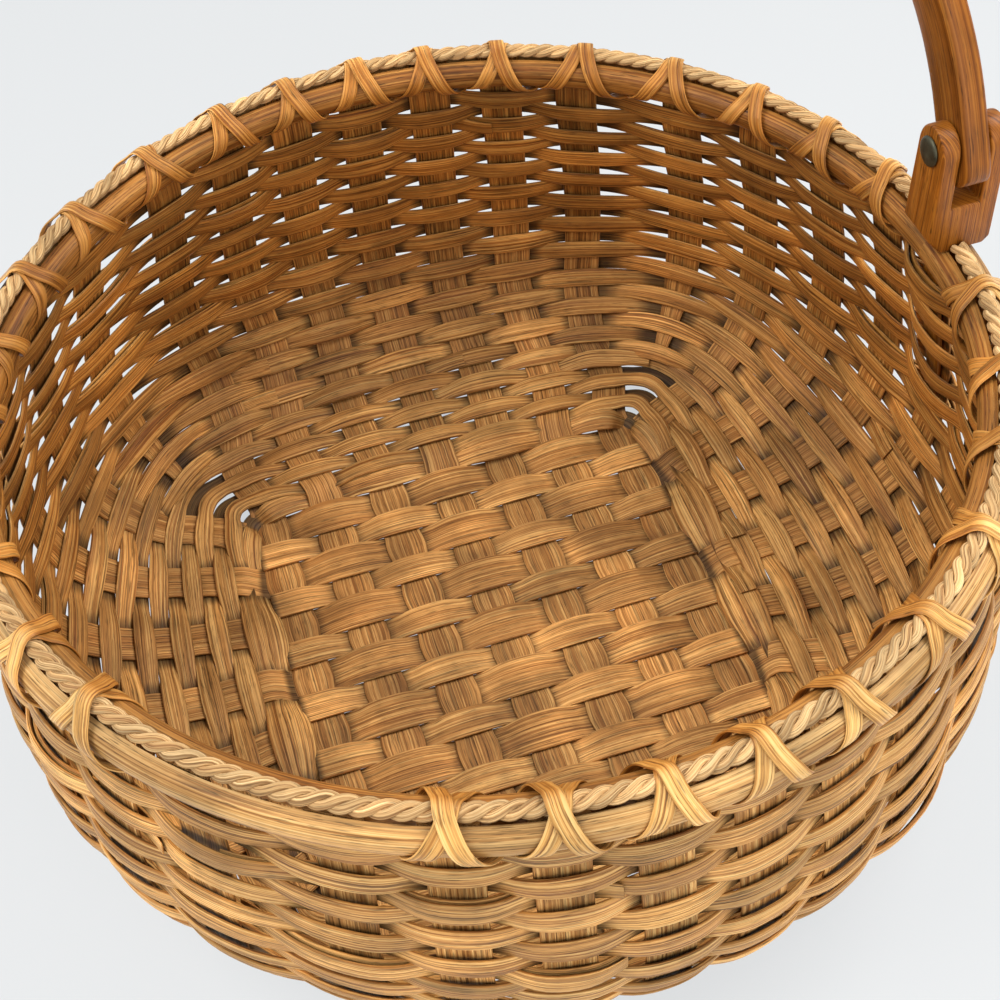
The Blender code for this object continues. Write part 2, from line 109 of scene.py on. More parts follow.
# Counts and shares that only the looks have, where a row or a stake counts as 1
stake_steps_per_row = 4
slope_rows = 0.35
hoop_steps = 288
splice_start = 0.15
splice_ease = 0.8
splice_taper = 0.45
lift_stray, tilt_stray, width_stray, thickness_stray = 0.13, 0.10, 0.07, 0.08
first_turn_reach = 0.952
first_turn_width = 1.15
open_corner_reach = 1.02
base_stake_ease, base_stake_swell = 1.03, 0.10
filler_ease, filler_swell = 1.06, 0.16
strip_edge_degrees, carved_edge_degrees = 50, 40

# Seeds of the random draws
stake_seed, filler_seed, row_seed, lash_seed = 11, 21, 701, 5
lift_seed, stray_seed, tilt_seed, width_seed, thickness_seed = 71, 1, 41, 21, 91
along_seed, across_seed, filler_width_seed = 30, 50, 60

base_half_side = (stake_count // 2) * stake_pitch + stake_width / 2 + base_edge_room
peak_level = flare_power / (flare_power + draw_in_power)
wall_bulge = wall_belly + (rim_radius - base_half_side) * (1 - peak_level)
filler_width = stake_pitch - stake_width - 2 * clearance
weave_step = stake_thickness + clearance
base_middle = weave_step + stake_thickness / 2
hoop_top = base_middle + hoop_top_above_base
hoop_bottom = hoop_top - hoop_height
shown_hoop_middle = hoop_top - shown_hoop_height / 2
wall_bottom = base_middle + base_lift
wall_top = hoop_bottom - lash_room
stake_top = hoop_top - stake_end_below_hoop_top
outer_hoop_face = rim_radius + stake_thickness / 2 + clearance + stake_width ** 2 / (8 * rim_radius) + clearance
inner_hoop_face = rim_radius - stake_thickness / 2 - tail_thickness - 2 * clearance
rim_middle = (outer_hoop_face + inner_hoop_face) / 2
rim_gap = outer_hoop_face - inner_hoop_face
slot_width = bail_thickness + 2 * clearance
ear_thickness = slot_width + 2 * prong_thickness
ear_foot = hoop_top + clearance
pivot_height = ear_foot + pivot_above_foot
levels = np.linspace(0, 1, 401) ** 4
side_places = [(index - stake_count // 2) * stake_pitch for index in range(stake_count)]
base_reach = side_places[-1] + stake_width / 2
base_run = np.linspace(-base_reach, base_reach, int(2 * base_reach / base_step) + 1)


def length_setting(name, text, value):
    """A setting in metres."""
    return FloatProperty(name=name, description=text, default=value, unit="LENGTH")


def plain_setting(name, text, value):
    """A setting without a unit, whole where its value is."""
    kind = IntProperty if isinstance(value, int) else FloatProperty
    return kind(name=name, description=text, default=value)


def colour_setting(name, text, value):
    """A setting for a colour."""
    return FloatVectorProperty(name=name, description=text, default=value, subtype="COLOR")


class WeaveSettings(bpy.types.PropertyGroup):
    """Sizes of the woven strips"""
    reed_lift: length_setting("Reed lift", "How far a low weaver stands off over a stake", 0.0016)
    rim_lift: length_setting("Rim lift", "How much further the top weaver stands off than the lowest", 0.0006)
    reed_swell: plain_setting("Reed swell", "How much wider a weaver lies over a stake", 0.19)
    reed_thickness: length_setting("Reed thickness", "Thickness of a weaver at its middle", 0.0016)
    reed_wander: length_setting("Reed wander", "How far a weaver strays up or down its row", 0.0004)
    splice_stakes: plain_setting("Splice", "Stakes that a row runs on past its own start", 3.4)
    steps_per_stake: plain_setting("Steps", "Steps of a weaver from one stake to the next", 10)
    base_arch: plain_setting("Base arch", "How much higher a base strip arches than it needs to", 1.15)
    stake_ripple: length_setting("Stake ripple", "How far a stake gives way to each weaver", 0.00035)


class RimSettings(bpy.types.PropertyGroup):
    """Sizes of the rim's trim"""
    cord_lay: length_setting("Cord lay", "Length of one full twist of the cord", 0.0145)
    cord_half_width: length_setting("Cord half width", "Half the width of the cord, pressed flat", 0.0027)
    cord_half_height: length_setting("Cord half height", "Half the height of the cord, pressed flat", 0.0021)
    cord_rise: length_setting("Cord rise", "Height of the cord's middle over the hoops", 0.0019)
    cord_strands: plain_setting("Cord strands", "Strands twisted into the cord", 3)
    lash_steps: plain_setting("Lash steps", "Steps of the lashing at each stake", 36)
    lash_bend: plain_setting("Lash bend", "How straight the lashing runs over the cord", 1.5)


class StageSettings(bpy.types.PropertyGroup):
    """Camera, light and ground"""
    key_power: plain_setting("Key lights", "Power of each light overhead, in watts", 14.5)
    fill_power: plain_setting("Fill light", "Power of the near light, in watts", 8.5)
    sky: colour_setting("Sky", "Colour of the light from all round", (0.90, 0.94, 1.0))
    sky_strength: plain_setting("Sky strength", "Strength of the light from all round", 0.70)
    ground: colour_setting("Ground", "Colour of floor and backdrop as the camera sees them", (0.79, 0.815, 0.83))


def side_radius(level):
    """Half width of the wall from level 0 at the base to level 1 under the rim."""
    peak = peak_level ** flare_power * (1 - peak_level) ** draw_in_power
    flare = level ** flare_power * (1 - level) ** draw_in_power / peak
    return base_half_side + (rim_radius - base_half_side) * level + wall_bulge * flare


def unit(rows):
    """Rows of vectors at unit length."""
    return rows / np.linalg.norm(rows, axis=-1, keepdims=True)


def headings(centres):
    """The direction of a path at each of its points."""
    return unit(np.gradient(centres, axis=0))


def squared(rows, along):
    """Directions turned square to other ones."""
    return unit(rows - along * np.sum(rows * along, axis=1, keepdims=True))


def polar(reach, angle, height):
    """Points at a reach from the basket's middle, an angle round it and a height."""
    return np.stack((reach * np.cos(angle), reach * np.sin(angle), height + 0 * angle), axis=1)


def carried_on(rows, count):
    """Rows with the last one repeated a few times more."""
    return np.concatenate((rows, np.repeat(rows[-1:], count, axis=0)))


class Upright:
    """One stake end in the wall, with places up it counted in weaver rows."""

    def __init__(self, turn, side_place, rim_degrees, corner=False):
        self.corner = corner
        self.rim_angle = turn + radians(rim_degrees)
        base_facing = self.rim_angle if corner else turn
        base_angle = self.rim_angle if corner else turn + atan2(side_place, base_half_side)
        half = side_radius(levels)
        share = np.minimum(1, (half - base_half_side) / (rim_radius - base_half_side))
        angle = base_angle + (self.rim_angle - base_angle) * share
        power = 2 + corner_squareness * (1 - share) ** 3
        reach = half / (abs(np.cos(angle)) ** power + abs(np.sin(angle)) ** power) ** (1 / power)
        self.path = polar(reach, angle, wall_bottom + (wall_top - wall_bottom) * levels)
        steps = np.linalg.norm(np.diff(self.path, axis=0), axis=1)
        self.places = np.concatenate(([0], np.cumsum(steps))) * row_count / steps.sum()
        self.pitch = steps.sum() / row_count
        self.facing = base_facing + (self.rim_angle - base_facing) * share
        self.first_row = corner_first_row if corner else 0

    def point(self, place):
        """Points of the wall's middle surface at places on this upright."""
        return np.stack([np.interp(place, self.places, self.path[:, axis]) for axis in range(3)], axis=-1)

    def frame(self, place):
        """Points, up and outward directions at places on this upright."""
        place = np.atleast_1d(np.asarray(place, float))
        above, below = np.minimum(place + slope_rows, row_count), np.maximum(place - slope_rows, 0)
        up = unit(self.point(above) - self.point(below))
        facing = np.interp(place, self.places, self.facing)
        sideways = np.stack((-np.sin(facing), np.cos(facing), np.zeros_like(facing)), axis=1)
        sideways = squared(sideways, up)
        return self.point(place), up, sideways, np.cross(sideways, up)

    def width(self, place):
        """Widths of the upright at places on it."""
        if not self.corner:
            return np.full(len(place), stake_width)
        share = np.clip((place - corner_first_row) / (corner_full_row - corner_first_row), 0, 1)
        return corner_tip_width + (stake_width - corner_tip_width) * share


uprights, stake_ends = [], {}
for quarter in range(4):
    rim_degrees = along_rim_degrees if quarter % 2 else across_rim_degrees
    for stake, side_place in enumerate(side_places):
        away = stake - stake_count // 2
        made = Upright(quarter * pi / 2, side_place, copysign(rim_degrees[abs(away)], away))
        uprights.append(made)
        stake_ends[quarter, stake] = made
    uprights.append(Upright(quarter * pi / 2, 0.0, corner_rim_degrees, corner=True))
ear_places = {"right": (1, uprights.index(stake_ends[0, 3])), "left": (-1, uprights.index(stake_ends[2, 3]))}


def wander(seed, places, waves=3, span=1.0):
    """A smooth random line between -1 and 1, the same on each run."""
    random = np.random.default_rng(seed)
    total = np.zeros_like(places, dtype=float)
    for wave in range(waves):
        pace = (wave + 1) * random.uniform(0.7, 1.3)
        total += np.sin(places / span * pace + random.uniform(0, 2 * pi)) / waves
    return total


# Cross sections as shares of the width and thickness
reed_shares = np.array([(-0.5, 0), (-0.47, 0.30), (-0.33, 0.46), (0, 0.5), (0.33, 0.46), (0.47, 0.30),
                        (0.5, 0), (0.47, -0.30), (0.33, -0.46), (0, -0.5), (-0.33, -0.46), (-0.47, -0.30)])
splint_shares = np.array([(-0.5, 0), (-0.485, 0.42), (-0.44, 0.5), (0, 0.5), (0.44, 0.5), (0.485, 0.42),
                          (0.5, 0), (0.485, -0.42), (0.44, -0.5), (0, -0.5), (-0.44, -0.5), (-0.485, -0.42)])
turns = np.linspace(-pi / 2, pi / 2, 11)
half_round_shares = np.array([(sin(turn) / 2, cos(turn) ** 0.8) for turn in turns] + [(0.25, 0), (-0.25, 0)])
half_round_shares[[0, 10], 1] = 0
round_shares = np.array([(cos(turn) / 2, sin(turn) / 2) for turn in np.linspace(0, 2 * pi, 11)[:-1]])
bail_shares = np.array([((0.38 if cos(turn + 0.01) > 0 else -0.38) + 0.12 * cos(turn),
                         (0.24 if sin(turn + 0.01) > 0 else -0.24) + 0.26 * sin(turn))
                        for turn in [pi / 2 * (index // 5 + index % 5 / 4) for index in range(20)]])


def to_mesh(shape, name):
    """A mesh from an edit mesh, which is freed."""
    mesh = bpy.data.meshes.new(name)
    shape.to_mesh(mesh)
    shape.free()
    return mesh


def adjust(item, **values):
    """The item with values set on it."""
    for name, value in values.items():
        setattr(item, name, value)
    return item


def link(name, data):
    """An object in the scene that holds the data."""
    made = bpy.data.objects.new(name, data)
    bpy.context.scene.collection.objects.link(made)
    return made


def vertex_places(mesh):
    """The mesh's vertices as rows of coordinates."""
    places = np.empty(len(mesh.vertices) * 3)
    mesh.vertices.foreach_get("co", places)
    return places.reshape(-1, 3)


def set_values(mesh, name, values):
    """Sets a number on each vertex, in the attribute of that name."""
    if name not in mesh.attributes:
        mesh.attributes.new(name, "FLOAT", "POINT")
    mesh.attributes[name].data.foreach_set("value", np.zeros(len(mesh.vertices)) + values)


def shade(mesh, sharp_degrees):
    """Smooth shading with edges that are sharp from an angle on."""
    mesh.shade_smooth()
    mesh.set_sharp_from_angle(angle=radians(sharp_degrees))


def strip_mesh(name, centres, across, outward, widths, thicknesses, shares, tone, crest=None, closed=False):
    """A strip with the given cross section along its centres, with its length and girth in metres as UV. Its crest is
    1 where its outer face lies bare, and -1 where its inner face does."""
    count, around = len(centres), len(shares)
    across, outward = np.broadcast_to(across, centres.shape), np.broadcast_to(outward, centres.shape)
    widths, thicknesses = np.zeros(count) + widths, np.zeros(count) + thicknesses
    shape = bmesh.new()
    shape.loops.layers.uv.new("UVMap")
    bmesh.ops.create_grid(shape, x_segments=count - 1, y_segments=around, size=1, calc_uvs=True)
    mesh = to_mesh(shape, name)
    places = vertex_places(mesh)
    ring = np.rint((places[:, 0] + 1) / 2 * (count - 1)).astype(int)
    spot = np.rint((places[:, 1] + 1) / 2 * around).astype(int) % around
    where = (centres[ring] + across[ring] * (widths[ring] * shares[spot, 0])[:, None]
             + outward[ring] * (thicknesses[ring] * shares[spot, 1])[:, None])
    mesh.vertices.foreach_set("co", where.ravel())
    lengths = np.concatenate(([0], np.cumsum(np.linalg.norm(np.diff(centres, axis=0), axis=1))))
    rounds = np.diff(np.vstack((shares, shares[:1])), axis=0) * (widths.mean(), thicknesses.mean())
    girths = np.concatenate(([0], np.cumsum(np.linalg.norm(rounds, axis=1))))
    corners = np.empty(len(mesh.loops) * 2)
    mesh.uv_layers[0].uv.foreach_get("vector", corners)
    corners = corners.reshape(-1, 2)
    corners[:, 0] = lengths[np.rint(corners[:, 0] * (count - 1)).astype(int)]
    corners[:, 1] = girths[np.rint(corners[:, 1] * around).astype(int)]
    mesh.uv_layers[0].uv.foreach_set("vector", corners.ravel())
    set_values(mesh, "tone", tone)
    # Inner faces are marked for the painted inside shade of the material
    set_values(mesh, "inside", np.clip(0.5 - shares[spot, 1] * 2, 0, 1))
    # Painted shade: the face that lies under a crossing strip is marked here, and the material darkens it
    hidden = 0 if crest is None else 0.5 - 0.5 * crest[ring] * np.clip(shares[spot, 1] * 4, -1, 1)
    set_values(mesh, "hidden", np.clip(hidden, 0, 1))
    weld(mesh, closed)
    return mesh


def weld(mesh, closed=False):
    """Joins a mesh's seams, closes its ends and smooths it."""
    shape = bmesh.new()
    shape.from_mesh(mesh)
    bmesh.ops.remove_doubles(shape, verts=shape.verts, dist=weld_distance)
    if not closed:
        bmesh.ops.holes_fill(shape, edges=[edge for edge in shape.edges if edge.is_boundary], sides=0)
    bmesh.ops.recalc_face_normals(shape, faces=shape.faces)
    shape.to_mesh(mesh)
    shape.free()
    shade(mesh, strip_edge_degrees)


def join(name, meshes):
    """One mesh from several."""
    if len(meshes) == 1:
        return meshes[0]
    whole = bmesh.new()
    for mesh in meshes:
        whole.from_mesh(mesh)
        bpy.data.meshes.remove(mesh)
    return to_mesh(whole, name)


def add_piece(mesh, slot, node, body="basket"):
    """Puts a mesh in the scene, where it rides on a body of the frame in place of its node."""
    piece = link(mesh.name, mesh)
    mesh.materials.clear()
    mesh.materials.append(finish_for(slot))
    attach(piece, body)
    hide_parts(node)


def smooth(rows, passes):
    """Rows of a path with each drawn towards its neighbours, ends fixed."""
    rows = rows.copy()
    for _ in range(passes):
        rows[1:-1] = (rows[:-2] + 2 * rows[1:-1] + rows[2:]) / 4
    return rows


def crossing_turn(share):
    """A wave from 1 at one crossing to -1 at the next, fuller than a cosine."""
    turn = np.cos(share * pi)
    return turn * (1.3 - 0.3 * turn ** 2)


def base_weaver_path(place, first_side, arch):
    """Wave and centres of a base strip that goes over one stake and under the next."""
    sides = np.array([first_side if number % 2 else -first_side for number in range(stake_count)], float)
    shares = np.clip(np.interp(base_run, side_places, np.arange(stake_count)), 0, stake_count - 1)
    first = np.minimum(shares.astype(int), stake_count - 2)
    low, high = sides[first], sides[first + 1]
    wave = (low + high) / 2 + (low - high) / 2 * crossing_turn(shares - first)
    rise = weave_step * wave * np.where(wave > 0, arch, 1)
    return wave, np.stack((base_run, np.full_like(base_run, place), base_middle + rise), axis=1)


def wall_run(upright, ripple):
    """Centres, sideways, outward, widths and bare side of an upright from its foot to its top."""
    places = np.linspace(upright.first_row, row_count, (row_count - upright.first_row) * stake_steps_per_row + 1)
    centres, _, sideways, outward = upright.frame(places)
    bare = np.cos((places - 0.5 + uprights.index(upright)) * pi)
    centres = centres + outward * (ripple * bare)[:, None]
    centres, sideways, outward, places = (carried_on(rows, 3) for rows in (centres, sideways, outward, places))
    centres[-3:, 2] += (stake_top - centres[-3:, 2]) * (0.35, 0.7, 1.0)
    widths = upright.width(places) * (1 + stake_flare_share * places / row_count)
    return centres, sideways, outward, widths, np.append(bare, np.zeros(3))


def base_stake(kind, index, ends, base_path, base_crest, side, seed, ripple, tone):
    """A stake from one end's top through the base to the other end's top."""
    parts = []
    for number, upright in enumerate(ends):
        centres, sideways, outward, widths, crest = wall_run(upright, ripple)
        sideways = sideways * np.sign(sideways @ side)[:, None]
        order = slice(None, None, -1) if number == 0 else slice(None)
        parts.append([rows[order] for rows in (centres, sideways, outward, widths, crest)])
    base = [base_path, *(np.repeat([way], len(base_path), axis=0) for way in (side, -upward)),
            stake_width * (base_stake_ease + base_stake_swell * abs(base_crest)), base_crest]
    centres, across, outward, widths, crest = [np.concatenate(rows) for rows in zip(parts[0], base, parts[1])]
    centres = smooth(centres, 3)
    across, outward = unit(smooth(across, 4)), unit(smooth(outward, 4))
    lengths = np.arange(len(centres)) * 0.1
    widths = widths * (0.98 - 0.02 * wander(seed, lengths, 3, 3.0))
    mesh = strip_mesh(f"splint_{kind}_{index + 1}", centres, across, outward, widths, stake_thickness, splint_shares,
                      tone, crest)
    add_piece(mesh, "oak_splint", f"stake_{kind}_{index + 1}")


def row_stations(row, settings):
    """Where one row passes each upright: points, up directions, offsets from the wall and widths. Row -1 is the turn
    of the first weaver that lies closest to the base."""
    points, ups, offsets, widths = [], [], [], []
    for index, upright in enumerate(uprights):
        centre, up, _, _ = upright.frame(row + 0.5 if row >= 0 else 0)
        if row < 0:
            centre = centre * (first_turn_reach, first_turn_reach, 0) + (0, 0, wall_bottom - base_lift / 2)
            up = unit(up + (0, 0, 0.5))
        side = 1 if (index + row) % 2 else -1
        if upright.first_row > row:
            side = -side
            centre = centre * (open_corner_reach, open_corner_reach, 1)
        offset = side * (settings.reed_lift + settings.rim_lift * row / row_count)
        if side < 0 and row >= row_count - tail_rows - 1 and index in [place for _, place in ear_places.values()]:
            offset -= tail_thickness + clearance
        points.append(centre[0])
        ups.append(up[0])
        offsets.append(offset)
        widths.append(upright.pitch * (first_turn_width if row < 0 else 1))
    return np.array(points), np.array(ups), np.array(offsets), np.array(widths)


def around_wall(points, places):
    """Points of a smooth closed line through the stations, at places counted in stations."""
    count = len(points)
    ahead = np.roll(points, -1, axis=0) - points
    span = np.linalg.norm(ahead, axis=1)
    before, behind = np.roll(span, 1), np.roll(ahead, 1, axis=0)
    slopes = (ahead * (before / span)[:, None] + behind * (span / before)[:, None]) / (span + before)[:, None]
    first = np.floor(places).astype(int)
    share = (places - first)[:, None]
    low, high = first % count, (first + 1) % count
    reach = span[low][:, None]
    square, cube = share ** 2, share ** 3
    return ((2 * cube - 3 * square + 1) * points[low] + (cube - 2 * square + share) * reach * slopes[low]
            + (3 * square - 2 * cube) * points[high] + (cube - square) * reach * slopes[high])


def weaver_mesh(row, settings):
    """One turn of a weaver that goes over and under the uprights, and past its own start."""
    points, ups, offsets, widths = row_stations(row, settings)
    count = len(points)
    random = np.random.default_rng(row_seed + row)
    start = float(random.integers(0, count)) + splice_start
    end = start + count + settings.splice_stakes
    places = np.arange(int((end - start) * settings.steps_per_stake) + 1) / settings.steps_per_stake + start
    first = np.floor(places).astype(int)
    share, here, ahead = places - first, first % count, (first + 1) % count
    turn = crossing_turn(share)
    low, high = offsets[here], offsets[ahead]
    lift = 1 + lift_stray * wander(lift_seed + row, np.floor(places + 0.5), 3, 1.3)
    offset = ((low + high) / 2 + (low - high) / 2 * turn) * lift
    lapping = np.clip((places - start - count + splice_ease) / splice_ease, 0, 1)
    lapped = np.clip((start + settings.splice_stakes + splice_ease - places) / splice_ease, 0, 1)
    layer = lapping - lapped
    offset = offset * (1 + 0.3 * abs(layer)) + layer * (settings.reed_thickness / 2 + 0.0001)
    middles = around_wall(points, places)
    up = unit(ups[here] * (1 - share)[:, None] + ups[ahead] * share[:, None])
    along = headings(middles)
    outward = unit(np.cross(along, up))
    stray = settings.reed_wander * wander(stray_seed + row, places, 4, 2.2)
    centres = middles + outward * offset[:, None] + up * stray[:, None]
    centres[:, 2] = np.maximum(centres[:, 2], lowest_reed)
    along = headings(centres)
    up = squared(up, along)
    tilt = tilt_stray * wander(tilt_seed + row, places, 4, 1.1)[:, None]
    outward = unit(np.cross(along, up) + up * tilt)
    across = unit(np.cross(outward, along))
    width = widths[here] * (1 - share) + widths[ahead] * share
    width = width * (1 + settings.reed_swell * abs(turn))
    width = width * (1 + width_stray * wander(width_seed + row, places, 4, 3.0))
    thick = settings.reed_thickness * (1 + thickness_stray * wander(thickness_seed + row, places, 3, 4.0))
    ends = np.minimum(1, np.minimum(places - start, end - places) / splice_taper)
    thick = thick * (0.3 + 0.7 * ends)
    width = width * (0.8 + 0.2 * ends)
    tone = float(np.clip(0.5 + 0.22 * random.standard_normal(), 0.05, 0.95))
    crest = np.clip(offset / settings.reed_lift, -1, 1)
    return strip_mesh(f"reed_row_{row + 1:02d}", centres, across, outward, width, thick, reed_shares, tone, crest)


def hoop(name, face, facing, seed, node):
    """Half round hoop, flat on the stakes."""
    angles = np.linspace(0, 2 * pi, hoop_steps + 1)
    cycle = np.append(angles[:-1], 0)
    thick = hoop_thickness * (0.97 + 0.03 * np.sin(cycle * 5 + seed))
    high = shown_hoop_height * (0.98 + 0.02 * np.sin(cycle * 3 + seed * 2))
    mesh = strip_mesh(name, polar(face, angles, shown_hoop_middle), upward, polar(facing, angles, 0), high, thick,
                      half_round_shares, 0.55, closed=True)
    # The inner hoop takes the painted inside shade all over
    set_values(mesh, "inside", 1 if facing < 0 else 0)
    add_piece(mesh, "hoop_reed", node)


def cord(name, start, end, settings, node):
    """Twisted cord in the groove between the hoops."""
    angles = np.linspace(start, end, int((end - start) * rim_middle / cord_step))
    outward = polar(1, angles, 0)
    middle = polar(rim_middle, angles, hoop_top + settings.cord_rise)
    strand = settings.cord_half_height * 1.16
    meshes = []
    for number in range(settings.cord_strands):
        twist = angles * rim_middle / settings.cord_lay * 2 * pi + number * 2 * pi / settings.cord_strands
        spread = 1 + 0.08 * wander(number, angles * 40)
        wide = (settings.cord_half_width - strand / 2) * spread
        high = (settings.cord_half_height - strand / 2) * spread
        centres = middle + outward * (wide * np.cos(twist))[:, None] + upward * (high * np.sin(twist))[:, None]
        along = headings(centres)
        across = unit(np.cross(along, upward))
        normal = np.cross(across, along)
        size = strand * (1 + 0.10 * wander(number + 9, angles * 60))
        meshes.append(strip_mesh(f"{name}_{number}", centres, across, normal, size, size, round_shares,
                                 0.35 + 0.2 * number))
    add_piece(join(name, meshes), "seagrass", node)


def lash_outline(layer, shares, settings):
    """Places across the rim, heights and the way out for one lap, from the wall round both hoops to the wall."""
    away = lash_thickness / 2 + clearance / 3 + (lash_thickness + clearance) * layer
    top = hoop_top + settings.cord_rise + settings.cord_half_height + away
    low = hoop_top - shown_hoop_height - away
    half = [(0.0, low), (rim_gap / 2 + hoop_thickness * 0.15, low)]
    for turn in np.radians((-68, -45, -20, 5, 30, 52, 72)):
        half.append((rim_gap / 2 + hoop_thickness * cos(turn) ** 0.8 + away * cos(turn),
                     shown_hoop_middle + (shown_hoop_height / 2 + away) * sin(turn)))
    half += [(settings.cord_half_width * 0.8, top - 0.0009), (0.0, top)]
    outline = np.array(half + [(-across, height) for across, height in half[-2::-1]])
    steps = np.diff(outline, axis=0)
    stops = np.concatenate(([0], np.cumsum(np.linalg.norm(steps, axis=1))))
    facing = np.stack((steps[:, 1], -steps[:, 0]), axis=1) / np.linalg.norm(steps, axis=1, keepdims=True)
    facing = np.vstack(([(0, -1)], (facing[1:] + facing[:-1]) / 2, [(0, -1)]))
    return [np.interp(shares, stops / stops[-1], row) for row in (*outline.T, *facing.T)]


def lashing(settings):
    """One flat strip that laps the rim to the far end and back, crossing over each stake but not the ears."""
    angles = [upright.rim_angle for upright in uprights]
    order = angles[bare_stakes_end:] + [angle + 2 * pi for angle in angles[:bare_stakes_start + 1]]
    gaps = [(first + second) / 2 for first, second in zip(order, order[1:])]
    laps = [(first, second, 0) for first, second in zip(gaps, gaps[1:])]
    laps += [(second, first, 1) for first, second, _ in laps[::-1]]
    shares = np.arange(settings.lash_steps) / settings.lash_steps
    random = np.random.default_rng(lash_seed)
    centres, outwards = [], []
    for start, end, layer in laps:
        ears = [place for place in (pi, 2 * pi, 3 * pi) if min(start, end) < place < max(start, end)]
        across, height, out, rise = lash_outline(layer, shares, settings)
        from_top = shares * 2 - 1
        lean = 0.5 + 0.5 * np.sign(from_top) * abs(from_top) ** settings.lash_bend
        turn = start + (end - start) * (lean + random.uniform(-0.06, 0.06) * np.sin(shares * pi))
        if ears:
            across, out = np.full_like(across, rim_gap / 2), np.zeros_like(out)
            height, rise = np.full_like(height, hoop_bottom - lash_thickness * 1.4), -np.ones_like(rise)
        centres.append(polar(rim_middle + across, turn, height))
        outwards.append(polar(out, turn, rise))
    centres, outward = smooth(np.concatenate(centres), 2), unit(smooth(np.concatenate(outwards), 3))
    along = headings(centres)
    outward = squared(outward, along)
    across = unit(np.cross(outward, along))
    lengths = np.arange(len(centres)) * 0.2
    width = lash_width * (1 + 0.08 * wander(3, lengths, 4, 9.0))
    mesh = strip_mesh("lashing_reed", centres, across, outward, width, lash_thickness, reed_shares, 0.6)
    reach = np.linalg.norm(vertex_places(mesh)[:, :2], axis=1)
    # Painted inside shade, stronger towards the inner side of the rim
    set_values(mesh, "inside", np.clip(0.5 + (rim_middle - reach) / rim_gap, 0, 1))
    add_piece(mesh, "lashing_reed", "rim_lashing")


def ear_block():
    """Carved block with a round top and a bevelled foot, before its slot is cut."""
    steps = 20
    shape = bmesh.new()
    bmesh.ops.create_circle(shape, cap_ends=True, segments=steps + 6, radius=1)
    outline = [(-ear_width / 2, ear_foot), (ear_width / 2, ear_foot), (ear_width / 2, ear_foot + 0.006)]
    for step in range(steps + 1):
        angle = pi * step / steps
        outline.append((ear_width * 0.46 * cos(angle), pivot_height + ear_width * 0.5 * sin(angle)))
    outline += [(-ear_width / 2, ear_foot + 0.006), (-ear_width / 2, ear_foot + 0.003)]
    for vertex, (across, height) in zip(sorted(shape.verts, key=lambda v: atan2(v.co.y, v.co.x)), outline):
        vertex.co = (-ear_thickness / 2, across, height)
    made = bmesh.ops.extrude_face_region(shape, geom=shape.faces[:])
    moved = [item for item in made["geom"] if isinstance(item, bmesh.types.BMVert)]
    bmesh.ops.translate(shape, vec=(ear_thickness, 0, 0), verts=moved)
    bmesh.ops.recalc_face_normals(shape, faces=shape.faces)
    for facing, inset in ((-1, ear_inner_bevel), (1, ear_outer_bevel)):
        cut = bmesh.ops.bisect_plane(shape, geom=shape.verts[:] + shape.edges[:] + shape.faces[:],
                                     plane_co=(facing * (ear_thickness / 2 - inset), 0, ear_foot),
                                     plane_no=(0.75 * facing, 0, -0.66), clear_outer=True)
        edges = [item for item in cut["geom_cut"] if isinstance(item, bmesh.types.BMEdge)]
        bmesh.ops.holes_fill(shape, edges=edges, sides=0)
    return to_mesh(shape, "ear")


def box(low, high):
    """A box between two corners."""
    shape = bmesh.new()
    bmesh.ops.create_cube(shape, size=1)
    bmesh.ops.scale(shape, vec=[top - bottom for bottom, top in zip(low, high)], verts=shape.verts)
    bmesh.ops.translate(shape, vec=[(top + bottom) / 2 for bottom, top in zip(low, high)], verts=shape.verts)
    return to_mesh(shape, "box")


def finished(mesh, cutter, bevel):
    """The mesh cut by a box with its sharp edges rounded, as a new mesh."""
    target, tool = link("work", mesh), link("cutter", cutter)
    adjust(target.modifiers.new("cut", "BOOLEAN"), object=tool, operation="DIFFERENCE", solver="EXACT")
    adjust(target.modifiers.new("rounding", "BEVEL"), width=bevel, segments=3, limit_method="ANGLE",
           angle_limit=radians(35))
    bpy.context.view_layer.update()
    made = bpy.data.meshes.new_from_object(target.evaluated_get(bpy.context.evaluated_depsgraph_get()))
    for used in (mesh, cutter):
        bpy.data.meshes.remove(used)
    return made


def wood_attributes(mesh, tone):
    """UV along upright grain and plain tone for a carved piece."""
    mesh.uv_layers.new(name="UVMap")
    places = vertex_places(mesh)
    loops = np.empty(len(mesh.loops), dtype=int)
    mesh.loops.foreach_get("vertex_index", loops)
    across, deep, up = places[loops].T
    mesh.uv_layers[0].uv.foreach_set("vector", np.stack((up, across + 0.7 * deep), axis=1).ravel())
    set_values(mesh, "tone", tone)
    set_values(mesh, "inside", 0)
    shade(mesh, carved_edge_degrees)


